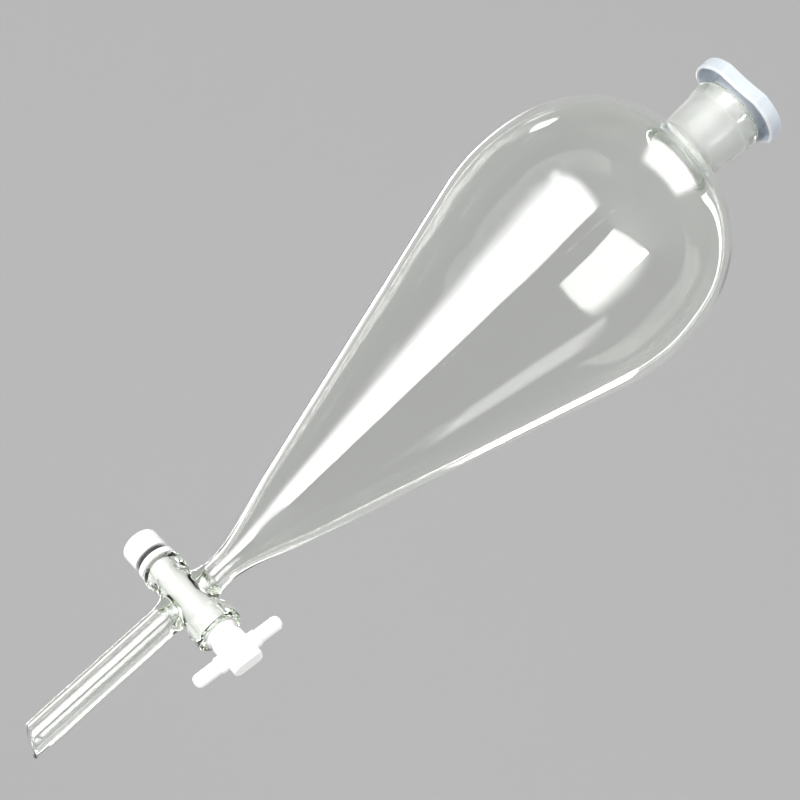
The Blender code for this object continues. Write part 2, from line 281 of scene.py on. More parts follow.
def bumpNode(material, source, strength, distance, under=None):
    node = material.node_tree.nodes.new("ShaderNodeBump")
    node.inputs["Strength"].default_value = strength
    node.inputs["Distance"].default_value = distance
    material.node_tree.links.new(source, node.inputs["Height"])
    if under is not None:
        material.node_tree.links.new(under, node.inputs["Normal"])
    return node.outputs["Normal"]


def borosilicate():
    # blown glass with a yellow-green cast where it is thick and a trace of handling film
    # "ground" is 1 on the socket's ground taper, which is frosted with fine rings, and less on the
    # neck's hazy outside
    material, shader = newMaterial("borosilicate glass", (1, 1, 1), 0.0, 1.473, 1.0)
    tree = material.node_tree
    links = tree.links
    ground = tree.nodes.new("ShaderNodeAttribute")
    ground.attribute_name = "ground"
    film = rangeNode(material, noiseNode(material, 45, 4), 0.0, 0.02, 0.6, 0.85)
    grain = noiseNode(material, 5200, 2)
    frost = rangeNode(material, grain, 0.52, 0.7)
    links.new(blendNode(material, ground.outputs["Fac"], film, frost), shader.inputs["Roughness"])
    links.new(ground.outputs["Fac"], shader.inputs["Sheen Weight"])
    shader.inputs["Sheen Roughness"].default_value = 0.8
    drawn = noiseNode(material, 1, 2, (170, 170, 7))
    smoothGlass = bumpNode(material, drawn, 0.2, 0.00002)
    rings = noiseNode(material, 1, 3, (120, 120, 9000))
    level = blendNode(material, ground.outputs["Fac"], 0.0, rings)
    links.new(bumpNode(material, level, 0.4, 0.00004, smoothGlass), shader.inputs["Normal"])
    absorb = tree.nodes.new("ShaderNodeVolumeAbsorption")
    absorb.inputs["Color"].default_value = (0.32, 0.75, 0.0, 1)
    absorb.inputs["Density"].default_value = 12
    links.new(absorb.outputs["Volume"], tree.nodes["Material Output"].inputs["Volume"])
    return material


def milkyPlastic():
    # moulded low-density polyethylene: cloudy, faintly blue, soft sheen; the cone that sits in the
    # neck is painted much whiter than the head, painted light standing in for the light that the
    # frosted neck holds back
    material, shader = newMaterial("milky polyethylene", (0.74, 0.79, 0.84), 0.36, 1.51, 0.1)
    links = material.node_tree.links
    cloud = noiseNode(material, 160, 3)
    head = mixNode(material, cloud, (0.54, 0.59, 0.65), (0.63, 0.675, 0.725))
    # painted light: the cone inside the frosted neck gets a whiter copy of the plastic than the head
    paintedLightCone = mixNode(material, cloud, (0.93, 0.945, 0.96), (0.96, 0.97, 0.98))
    height = material.node_tree.nodes.new("ShaderNodeSeparateXYZ")
    place = material.node_tree.nodes.new("ShaderNodeTexCoord")
    links.new(place.outputs["Object"], height.inputs[0])
    # 1 on the head, 0 on the cone below it, which carries the painted light
    isHead = rangeNode(material, height.outputs[2], 0, 1, 0.1315, 0.1345)
    tone = material.node_tree.nodes.new("ShaderNodeMix")
    tone.data_type = "RGBA"
    links.new(isHead, tone.inputs[0])
    links.new(paintedLightCone, tone.inputs[6])
    links.new(head, tone.inputs[7])
    links.new(tone.outputs[2], shader.inputs["Base Color"])
    grain = noiseNode(material, 2600, 3)
    links.new(rangeNode(material, grain, 0.3, 0.44), shader.inputs["Roughness"])
    links.new(bumpNode(material, grain, 0.2, 0.00003), shader.inputs["Normal"])
    shader.inputs["Subsurface Weight"].default_value = 0.6
    shader.inputs["Subsurface Radius"].default_value = (1.0, 1.05, 1.15)
    shader.inputs["Subsurface Scale"].default_value = 0.004
    return material


def whiteFluoroplastic():
    # turned and milled: chalky white with fine tool rings round the stopcock's axis
    material, shader = newMaterial("white fluoroplastic", (0.92, 0.92, 0.91), 0.4, 1.38)
    links = material.node_tree.links
    tone = mixNode(material, noiseNode(material, 220, 3), (0.90, 0.90, 0.885), (0.945, 0.945, 0.94))
    links.new(tone, shader.inputs["Base Color"])
    rings = noiseNode(material, 1, 2, (5200, 60, 60))
    grain = noiseNode(material, 3000, 2)
    links.new(rangeNode(material, rings, 0.34, 0.48), shader.inputs["Roughness"])
    under = bumpNode(material, grain, 0.15, 0.00002)
    links.new(bumpNode(material, rings, 0.3, 0.00002, under), shader.inputs["Normal"])
    shader.inputs["Subsurface Weight"].default_value = 0.25
    shader.inputs["Subsurface Radius"].default_value = (1.0, 1.0, 0.95)
    shader.inputs["Subsurface Scale"].default_value = 0.0012
    return material


def blackRubber():
    material, shader = newMaterial("black rubber", (0.018, 0.018, 0.019), 0.55, 1.5)
    links = material.node_tree.links
    bloom = noiseNode(material, 900, 4)
    tone = mixNode(material, bloom, (0.012, 0.012, 0.013), (0.035, 0.034, 0.034))
    links.new(tone, shader.inputs["Base Color"])
    links.new(rangeNode(material, bloom, 0.42, 0.68), shader.inputs["Roughness"])
    links.new(bumpNode(material, bloom, 0.3, 0.00003), shader.inputs["Normal"])
    return material


glass = borosilicate()
plastic = milkyPlastic()
fluoroplastic = whiteFluoroplastic()
rubber = blackRubber()
print("materials made")


bulb = {
    "ringRadius": 0.0375, "coneAngle": 16.1, "radius": 0.0505, "equatorZ": 0.0557,
    "domeHeight": 0.053, "domePower": 2.3, "wall": 0.002, "domeEndRadius": 0.0151,
    "neckZ": 0.1117, "shoulderFillet": 0.0022, "socketRadius": 0.012, "socketTaper": 0.05,
    "rimZ": 0.132, "groundTop": 0.1305, "groundEnd": 0.1042, "hazeStart": 0.1085, "hazeEnd": 0.1285,
    "haze": 0.5, "steps": 128, "spacing": 0.0022,
}
tail = {"radius": 0.0052, "bore": 0.0032, "armLength": 0.015}
outlet = {
    "radius": 0.00548, "bore": 0.0033, "length": 0.0709, "tilt": 30, "turn": -129,
    "steps": 96, "slantStart": 0.058, "weldZ": -0.0176, "weldHeight": 0.00009,
    "spacing": 0.0014,
}


def coneRadius(z):
    return bulb["ringRadius"] + z * math.tan(math.radians(bulb["coneAngle"]))


def socketRadius(z):
    return bulb["socketRadius"] - bulb["socketTaper"] * (bulb["rimZ"] - z)


def pearSide(inset):
    widest, height = bulb["radius"] - inset, bulb["domeHeight"] - inset
    power = bulb["domePower"]
    end = math.acos((bulb["domeEndRadius"] / widest) ** (power / 2))
    points = []
    for u in np.linspace(end, 0, 42):
        rise = height * math.sin(u) ** (2 / power)
        points.append((widest * math.cos(u) ** (2 / power), bulb["equatorZ"] + rise))
    angle = math.radians(bulb["coneAngle"])
    overshoot = coneRadius(bulb["equatorZ"]) - bulb["radius"]
    arcRadius = overshoot * math.cos(angle) / (1 - math.cos(angle))
    center = (bulb["radius"] - arcRadius, bulb["equatorZ"])
    return points + arcPoints(center, arcRadius - inset, 0, -bulb["coneAngle"], 14)[1:]


def bulbOutline():
    # from the seam on the stopcock's arm up the outside, over the rim and down the inside
    seam = stopcockZ + tail["armLength"]
    mid, coneStart = stopcockZ + 0.038, stopcockZ + 0.049
    wall = bulb["wall"] / math.cos(math.radians(bulb["coneAngle"]))
    outer = bezierPoints(
        (tail["radius"], seam), (tail["radius"] + 0.0006, stopcockZ + 0.025),
        (coneRadius(mid), mid), (coneRadius(coneStart), coneStart), 26)
    outer += list(reversed(pearSide(0.0)))
    fillet = bulb["shoulderFillet"]
    shoulder = arcPoints((bulb["domeEndRadius"], bulb["neckZ"] - fillet), fillet, 180, 270, 8)
    outer += list(reversed(shoulder))[1:]
    groundTop = bulb["groundTop"]
    rim = [
        (0.0129, bulb["neckZ"] + 0.0008), (0.0131, 0.1142), (0.0136, 0.1244), (0.0138, 0.125),
        (0.01415, 0.1259), (0.0143, 0.1275), (0.01455, 0.1304), (0.0144, 0.1317), (0.0138, 0.13205),
        (0.0129, 0.13205), (socketRadius(0.1314), 0.1314), (socketRadius(groundTop), groundTop),
    ]
    outer += softened([outer[-1]] + rim, 0.0006, 4)[1:]
    ground = [(socketRadius(z), z) for z in np.linspace(groundTop, bulb["groundEnd"], 24)][1:]
    lip = softened([ground[-1], (socketRadius(0.1032), 0.10325), (0.0124, 0.1044)], 0.0005, 4)[1:]
    inner = pearSide(bulb["wall"])
    drop = bezierPoints(
        (coneRadius(coneStart) - wall, coneStart), (coneRadius(mid) - wall, mid),
        (tail["bore"] + 0.0002, stopcockZ + 0.027), (tail["bore"], seam), 26)
    return outer, ground, lip + inner + drop


def waves(points):
    # blown glass is never quite true: slow swells, more inside than out and most at the shoulder
    z = points[:, 2]
    radius = np.hypot(points[:, 0], points[:, 1])
    center = np.clip((z + 0.112) / 0.02, 0, 1) * np.clip((0.104 - z) / 0.01, 0, 1)
    shoulder = 0.35 + 0.65 * np.clip((z - 0.02) / 0.04, 0, 1)
    size = np.clip((radius - 0.006) / 0.02, 0.15, 1)
    slow = ripple(points, 0.052, 3)
    quick = ripple(points, 0.021, 8)
    return center * shoulder * size, slow, quick


def buildBulb():
    outer, ground, inner = bulbOutline()
    outer = spaced(outer, bulb["spacing"])
    inner = spaced([ground[-1]] + inner, bulb["spacing"])[1:]
    rows = turnedRows(outer + ground + inner, bulb["steps"])
    points = rows.reshape(-1, 3)
    weight, slow, quick = waves(points)
    isInner = np.arange(len(points)) >= (len(outer) + len(ground)) * bulb["steps"]
    within, without = 0.00013 * slow + 0.00005 * quick, 0.00007 * slow + 0.000012 * quick
    push = weight * np.where(isInner, within, without)
    radius = np.hypot(points[:, 0], points[:, 1])
    points[:, 0] *= 1 + push / radius
    points[:, 1] *= 1 + push / radius
    count = len(outer) + len(ground) + len(inner)
    frost = np.zeros((count, bulb["steps"]))
    neck = np.array([z for _, z in outer])
    rising = np.clip((neck - bulb["hazeStart"]) / 0.002, 0, 1)
    falling = np.clip((bulb["hazeEnd"] - neck) / 0.003, 0, 1)
    frost[:len(outer)] = (bulb["haze"] * rising * falling)[:, None]
    frost[len(outer) - 1:len(outer) + len(ground) + 2] = 1
    return points, rowFaces(count, bulb["steps"]), frost.ravel(), count


def buildStem():
    # the outlet tube, drawn down to a tip that is cut on a slant and fire-polished
    top = -tail["armLength"]
    end = -outlet["length"]
    outer = [(outlet["radius"], top), (outlet["radius"], end + 0.0007)]
    middle = (outlet["radius"] + outlet["bore"]) / 2
    edge = [
        (outlet["radius"] - 0.00012, end + 0.0003), (outlet["radius"] - 0.0005, end + 0.00005),
        (middle, end),
        (outlet["bore"] + 0.0005, end + 0.00005), (outlet["bore"] + 0.00012, end + 0.0003),
    ]
    inner = [(outlet["bore"], end + 0.0007), (outlet["bore"], top)]
    outline = spaced(outer + edge + inner, outlet["spacing"])
    rows = turnedRows(outline, outlet["steps"])
    points = rows.reshape(-1, 3)
    turn = math.radians(outlet["turn"])
    towardsCut = points[:, 0] * math.cos(turn) + points[:, 1] * math.sin(turn)
    rise = math.tan(math.radians(outlet["tilt"])) * towardsCut
    slantLength = outlet["length"] - outlet["slantStart"]
    points[:, 2] += rise * np.clip((-points[:, 2] - outlet["slantStart"]) / slantLength, 0, 1)
    away = np.clip((-points[:, 2] - tail["armLength"]) / 0.01, 0, 1)
    weld = np.exp(-((points[:, 2] - outlet["weldZ"]) / 0.0007) ** 2) * outlet["weldHeight"]
    push = away * 0.00003 * ripple(points * (1, 1, 0.25), 0.009, 5)
    radius = np.hypot(points[:, 0], points[:, 1])
    outside = radius > middle
    push = push + np.where(outside, weld, -weld)
    points[:, 0] *= 1 + push / radius
    points[:, 1] *= 1 + push / radius
    points[:, 2] += stopcockZ
    return points, rowFaces(len(outline), outlet["steps"]), len(outline)


barrel = {
    "outline": [
        (0.0, 0.01785), (0.0078, 0.01785), (0.0087, 0.0171), (0.0089, 0.0157), (0.0087, 0.0114),
        (0.0083, 0.0101), (0.0075, 0.0089), (0.0071, 0.0), (0.0068, -0.0087), (0.0072, -0.0098),
        (0.0076, -0.0106), (0.0076, -0.0158), (0.0073, -0.0166), (0.0067, -0.0169), (0.0, -0.0169),
    ],
    "plugRadius": 0.006, "plugTaper": 0.05, "largeEnd": 0.01785, "smallEnd": -0.0169, "gap": 0.0003,
    "step": 0.00036, "meltReach": 0.0022, "weldRipple": 0.00013, "slowRipple": 0.00006,
}


def plugRadius(x):
    return barrel["plugRadius"] - barrel["plugTaper"] * (barrel["largeEnd"] - x)


def barrelField(points):
    # the melted joint of barrel and arms, with its bores; distances from the stopcock's centre
    x, y, h = points.T
    acrossBarrel, acrossArms = np.hypot(y, h), np.hypot(x, y)
    body = outlineDistance(acrossBarrel, x, barrelSoft)
    arms = outlineDistance(acrossArms, h, armSoft)
    joined = melt(body, arms, barrel["meltReach"])
    height = np.abs(h)
    near = np.exp(-(height / 0.0125) ** 6) * np.clip((height - 0.002) / 0.003, 0, 1)
    inward = np.clip((0.0125 - height) / 0.003, 0, 1)
    joined = joined - barrel["weldRipple"] * ripple(points, 0.0052, 11) * near
    joined = joined - barrel["slowRipple"] * ripple(points, 0.0075, 12) * inward
    hole = outlineDistance(acrossBarrel, x, boreOutline)
    ports = outlineDistance(acrossArms, h, portOutline)
    return carve(carve(joined, hole, 0.0003), ports, 0.0004)


barrelSoft = softened(barrel["outline"], 0.0007, 5)
armSoft = softened([
    (0.0, 0.02), (0.0052, 0.02), (0.0052, 0.0116), (0.0056, 0.0098), (0.0062, 0.0076), (0.0046, 0.004),
    (0.0046, -0.004), (0.0064, -0.0076), (0.0059, -0.0098), (0.00548, -0.0116), (0.00548, -0.02),
    (0.0, -0.02)], 0.0008, 4)
smallBore = plugRadius(barrel["smallEnd"]) + barrel["gap"]
boreOutline = [
    (0.0, 0.03), (0.0074, 0.03), (0.0069, barrel["largeEnd"]),
    (plugRadius(0.0156) + barrel["gap"], 0.0156), (smallBore, barrel["smallEnd"]), (smallBore, -0.03),
    (0.0, -0.03)]
portOutline = softened([
    (0.0, 0.02), (0.0032, 0.02), (0.0032, 0.0098), (0.0022, 0.0078), (0.0022, -0.0078),
    (0.0033, -0.0098), (0.0033, -0.02), (0.0, -0.02)], 0.0006, 4)


def buildBarrel():
    # it is cut flat a little past each seam, where the bulb's tail and the stem begin
    corners = (-0.0183, -0.0098, -0.0163), (0.0193, 0.0098, 0.0163)
    points, faces = skin(barrelField, *corners, barrel["step"])
    work = bmesh.new()
    for p in points:
        work.verts.new(p)
    work.verts.ensure_lookup_table()
    for face in faces:
        work.faces.new([work.verts[i] for i in face])
    for side in (1, -1):
        cut = side * (tail["armLength"] - 0.0006)
        everything = work.verts[:] + work.edges[:] + work.faces[:]
        bmesh.ops.bisect_plane(
            work, geom=everything, plane_co=(0, 0, cut), plane_no=(0, 0, side), clear_outer=True)
    loose = [v for v in work.verts if not v.link_faces]
    bmesh.ops.delete(work, geom=loose, context="VERTS")
    work.verts.index_update()
    points = np.array([v.co for v in work.verts])
    faces = [tuple(v.index for v in f.verts) for f in work.faces]
    edge = {v.index for e in work.edges if len(e.link_faces) == 1 for v in e.verts}
    work.free()
    loops = {}
    wallMiddle = 0.0043
    for i in edge:
        upper = points[i][2] > 0
        outside = math.hypot(*points[i][:2]) > wallMiddle
        loops.setdefault((upper, outside), []).append(i)
    points[:, 2] += stopcockZ
    return points, faces, loops


def bridge(points, first, second):
    # faces between two rings round the Z axis that have different numbers of points
    def byAngle(ring):
        return sorted((math.atan2(points[i][1], points[i][0]) % math.tau, i) for i in ring)

    a, b = byAngle(first), byAngle(second)
    faces = []
    i = j = 0

    def following(ring, at):
        # the next point's angle, or nothing left once the ring has gone round
        turns, place = divmod(at + 1, len(ring))
        return ring[place][0] + math.tau * turns if at < len(ring) else math.inf

    while i < len(a) or j < len(b):
        if following(a, i) <= following(b, j):
            faces.append((a[i % len(a)][1], a[(i + 1) % len(a)][1], b[j % len(b)][1]))
            i += 1
        else:
            faces.append((a[i % len(a)][1], b[(j + 1) % len(b)][1], b[j % len(b)][1]))
            j += 1
    return faces


def buildGlass():
    bulbPoints, bulbFaces, frost, bulbRows = buildBulb()
    stemPoints, stemFaces, stemRows = buildStem()
    barrelPoints, barrelFaces, loops = buildBarrel()
    points = np.concatenate([bulbPoints, stemPoints, barrelPoints])
    stemFirst = len(bulbPoints)
    barrelFirst = stemFirst + len(stemPoints)
    faces = bulbFaces + [tuple(i + stemFirst for i in f) for f in stemFaces]
    faces += [tuple(i + barrelFirst for i in f) for f in barrelFaces]

    def ringRange(first, row, steps):
        return range(first + row * steps, first + (row + 1) * steps)

    ends = {  # (upper or lower, outside or inside)
        (True, True): ringRange(0, 0, bulb["steps"]),
        (True, False): ringRange(0, bulbRows - 1, bulb["steps"]),
        (False, True): ringRange(stemFirst, 0, outlet["steps"]),
        (False, False): ringRange(stemFirst, stemRows - 1, outlet["steps"]),
    }
    for key, ring in ends.items():
        print("seam", key, len(loops[key]), "points")
        faces += bridge(points, [i + barrelFirst for i in loops[key]], list(ring))
    piece = makePiece("glassBody", points, faces, glass)
    ground = np.zeros(len(points), np.float32)
    ground[:len(frost)] = frost
    piece.data.attributes.new("ground", "FLOAT", "POINT").data.foreach_set("value", ground)
    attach(piece, "funnel")
    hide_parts("pear_bulb", "neck_socket", "stopcock_barrel", "stem")


buildGlass()
print("glass body made")


cap = {
    "bottomZ": 0.1012, "skirtZ": 0.1332, "topZ": 0.1391, "ceilingZ": 0.1376, "wall": 0.0013,
    "corner": 0.0184, "lobe": 0.0195, "grip": 0.0159, "gripAngle": 53, "turn": -77.7,
    "cupTop": 0.0095, "cupBottom": 0.0081, "cupBottomZ": 0.1032, "gap": 0.0003, "steps": 240,
    "roundness": 1.8, "meanRadius": 0.0158,
}


def headRadius(angles):
    # three hollow finger grips between three rounded lobes
    def circle(first, middle, last, count):
        (ax, ay), (bx, by), (cx, cy) = first, middle, last
        d = 2 * (ax * (by - cy) + bx * (cy - ay) + cx * (ay - by))
        a2, b2, c2 = ax * ax + ay * ay, bx * bx + by * by, cx * cx + cy * cy
        ux = (a2 * (by - cy) + b2 * (cy - ay) + c2 * (ay - by)) / d
        uy = (a2 * (cx - bx) + b2 * (ax - cx) + c2 * (bx - ax)) / d
        start = math.atan2(ay - uy, ax - ux)
        sweep = (math.atan2(cy - uy, cx - ux) - start + math.pi) % math.tau - math.pi
        a = start + sweep * np.arange(count) / count
        radius = math.hypot(ax - ux, ay - uy)
        return list(zip(ux + radius * np.cos(a), uy + radius * np.sin(a)))

    def at(radius, degrees):
        return radius * math.cos(math.radians(degrees)), radius * math.sin(math.radians(degrees))

    points = []
    half = cap["gripAngle"] / 2
    for i in range(3):
        middle = cap["turn"] + 120 * i
        first, second = at(cap["corner"], middle - half), at(cap["corner"], middle + half)
        third = at(cap["corner"], middle + 120 - half)
        points += circle(first, at(cap["grip"], middle), second, 40)
        points += circle(second, at(cap["lobe"], middle + 60), third, 40)
    points = np.array(points)
    around = np.arctan2(points[:, 1], points[:, 0]) % math.tau
    order = np.argsort(around)
    around, radius = around[order], np.hypot(points[:, 0], points[:, 1])[order]
    around = np.concatenate([around - math.tau, around, around + math.tau])
    radius = np.tile(radius, 3)
    total = 0
    offsets = np.radians(np.linspace(-cap["roundness"], cap["roundness"], 9))
    for offset in offsets:
        total = total + np.interp(angles + offset, around, radius)
    return total / len(offsets)


def taperRadius(z):
    return socketRadius(z) - cap["gap"]


def stopperRows():
    # each row: share of the lobed outline, radius or inset, height
    bottom, ceiling, low, high = cap["bottomZ"], cap["ceilingZ"], cap["skirtZ"], cap["topZ"]
    rows = [(0, r, bottom + 0.00002) for r in (0.0015, 0.004, 0.007)]
    corner = taperRadius(bottom)
    rows += [(0, r, z) for r, z in softened([
        (0.008, bottom), (corner - 0.0008, bottom), (corner, bottom + 0.0009),
        (taperRadius(bottom + 0.004), bottom + 0.004)], 0.0005, 4)]
    rows += [(0, taperRadius(z), z) for z in np.linspace(bottom + 0.006, ceiling - 0.0012, 18)]
    base = taperRadius(ceiling)
    rows += [(0, r, z) for r, z in bezierPoints(
        (taperRadius(ceiling - 0.0008), ceiling - 0.0008), (base, ceiling - 0.0002),
        (base + 0.0003, ceiling), (base + 0.0009, ceiling), 4)[1:]]
    # under the head and down the skirt's inside
    inset = cap["wall"]
    rows += [(1, inset + 0.0011, ceiling), (1, inset + 0.0008, ceiling)]
    rows += [(1, inset + 0.0008 - r, z) for r, z in bezierPoints(
        (0, ceiling), (0.0005, ceiling),
        (0.0008, ceiling - 0.0003), (0.0008, ceiling - 0.0008), 4)[1:]]
    rows += [(1, inset - 0.00005, z) for z in (ceiling - 0.0018, low + 0.0016, low + 0.0009)]
    # round the skirt's edge, up its outside and over the head
    rows += [(1, d, low + z) for d, z in (
        (inset - 0.0001, 0.0004), (inset - 0.00028, 0.0001), (inset - 0.0006, 0),
        (0.0006, 0), (0.00035, 0.00005), (0.0001, 0.00022), (0.0, 0.0005),
        (0.0, 0.0011), (0.0, 0.0022), (0.0, 0.0034))]
    rows += [(1, d, high - z) for d, z in (
        (0.0, 0.0013), (0.00003, 0.0009), (0.00016, 0.0005), (0.0004, 0.0002), (0.00075, 0.00004),
        (0.0011, 0), (0.0016, 0))]
    rows += [
        (0.72, 0.0025, high - 0.00004), (0.4, 0.0036, high - 0.0001), (0.12, 0.0046, high - 0.0001),
        (0, 0.0116, high - 0.00006)]
    # into the open cup
    top, narrow, depth = cap["cupTop"], cap["cupBottom"], cap["cupBottomZ"]
    rows += [(0, r, z) for r, z in softened([
        (0.0108, high - 0.00002), (top + 0.0006, high), (top, high - 0.0006),
        (top - 0.00008, high - 0.002)], 0.0004, 4)]
    sideTop, sideEnd = high - 0.003, depth + 0.001
    rows += [(0, top + (narrow - top) * t, sideTop - (sideTop - sideEnd) * t)
             for t in np.linspace(0, 1, 14)]
    rows += [(0, r, z) for r, z in bezierPoints(
        (narrow, depth + 0.001), (narrow, depth + 0.0003), (narrow - 0.0004, depth),
        (narrow - 0.0012, depth), 5)[1:]]
    rows += [(0, r, depth + z) for r, z in (
        (0.0045, 0), (0.0017, 0), (0.0014, 0.0001), (0.0012, 0.0004), (0.0009, 0.00055))]
    return rows


def buildStopper():
    angles = np.linspace(0, math.tau, cap["steps"], endpoint=False)
    lobed = headRadius(angles)
    rows = stopperRows()
    points = [(0, 0, cap["bottomZ"] + 0.00002)]
    for share, size, z in rows:
        if share == 0:
            radius = np.full(len(angles), size)
        elif share == 1:
            radius = lobed - size
        else:
            radius = share * (lobed - size) + (1 - share) * (cap["meanRadius"] - size)
        points += list(zip(radius * np.cos(angles), radius * np.sin(angles), np.full(len(angles), z)))
    points.append((0, 0, cap["cupBottomZ"] + 0.00058))
    steps = cap["steps"]
    faces = rowFaces(len(rows), steps, 1)
    faces += [(0, 1 + (j + 1) % steps, 1 + j) for j in range(steps)]
    last = 1 + (len(rows) - 1) * steps
    faces += [(last + j, last + (j + 1) % steps, len(points) - 1) for j in range(steps)]
    piece = makePiece("capStopper", points, faces, plastic)
    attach(piece, "stopper")
    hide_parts("stopper")


buildStopper()
print("stopper made")


plug = {
    "turn": -12, "waistRadius": 0.0052, "hubStart": 0.0204, "hubEnd": 0.0336, "hubWidth": 0.0117,
    "hubDepth": 0.0066, "hubCorner": 0.0026, "hubEdge": 0.0009, "handleX": 0.0272,
    "handleLength": 0.0362, "handleRadius": 0.0026, "handleTip": 0.0021, "bossRadius": 0.0031,
    "bossLength": 0.0166, "portRadius": 0.002, "threadRoot": 0.0035, "end": -0.0292, "step": 0.00033,
}


def roundedBox(a, b, half, corner):
    # distance to a box with rounded corners in one plane
    qa, qb = np.abs(a) - half[0] + corner, np.abs(b) - half[1] + corner
    outside = np.hypot(np.maximum(qa, 0), np.maximum(qb, 0))
    return outside + np.minimum(np.maximum(qa, qb), 0) - corner


def plugField(points):
    # x along the stopcock, b along the handle, c across both
    x, b, c = points.T
    across = np.hypot(b, c)
    body = outlineDistance(across, x, plugSoft)
    middle = (plug["hubStart"] + plug["hubEnd"]) / 2
    halves = plug["hubWidth"] / 2, plug["hubDepth"] / 2
    section = roundedBox(b, c, halves, plug["hubCorner"])
    ends = np.abs(x - middle) - (plug["hubEnd"] - plug["hubStart"]) / 2
    edge = plug["hubEdge"]
    hub = np.hypot(np.maximum(section + edge, 0), np.maximum(ends + edge, 0))
    hub += np.minimum(np.maximum(section, ends) + edge, 0) - edge
    aroundHandle = np.hypot(x - plug["handleX"], c)
    boss = np.maximum(aroundHandle - plug["bossRadius"], np.abs(b) - plug["bossLength"] / 2)
    tip = plug["handleTip"]
    beyond = np.maximum(np.abs(b) - (plug["handleLength"] / 2 - tip), 0)
    side = np.maximum(aroundHandle - (plug["handleRadius"] - tip), 0)
    rod = np.hypot(side, beyond) - tip
    whole = melt(melt(hub, boss, 0.0005), rod, 0.0006)
    whole = melt(body, whole, 0.0004)
    port = np.maximum(np.hypot(x, c) - plug["portRadius"], np.abs(b) - 0.01)
    return carve(whole, port, 0.0003)


plugSoft = softened([
    (0.0, 0.024), (plug["waistRadius"], 0.024), (plug["waistRadius"], 0.0189),
    (plugRadius(0.0183), 0.0183), (plugRadius(-0.0163), -0.0163),
    (plugRadius(-0.0163) - 0.0003, -0.0169), (plug["threadRoot"], -0.0171),
    (plug["threadRoot"], -0.0287), (plug["threadRoot"] - 0.0005, plug["end"]),
    (0.0, plug["end"])], 0.0003, 4)


def toStopcock(points, turn=0.0):
    # from (x, b, c) to the model's frame; the handle starts upright and turns about the x axis
    angle = math.radians(turn)
    x, b, c = np.asarray(points).T
    up = b * math.cos(angle) + c * math.sin(angle)
    side = -b * math.sin(angle) + c * math.cos(angle)
    return np.stack([x, side, up + stopcockZ], -1)


def buildPlug():
    corners = (-0.03017, -0.01899, -0.00693), (0.0345, 0.0189, 0.0068)
    points, faces = skin(plugField, *corners, plug["step"])
    piece = makePiece("stopcockKey", toStopcock(points, plug["turn"]), faces, fluoroplastic)
    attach(piece, "plug")
    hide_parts("stopcock_plug")


buildPlug()
print("stopcock plug made")


thread = {
    "pitch": 0.002, "rootWidth": 0.0012, "crestWidth": 0.0005, "perTurn": 64, "sharpAngle": 32,
    "plugRoot": 0.0033, "plugCrest": 0.004, "plugStart": -0.0186, "plugEnd": -0.0284,
    "nutRoot": 0.0045, "nutCrest": 0.0037, "nutStart": -0.0222, "nutEnd": -0.0296,
}


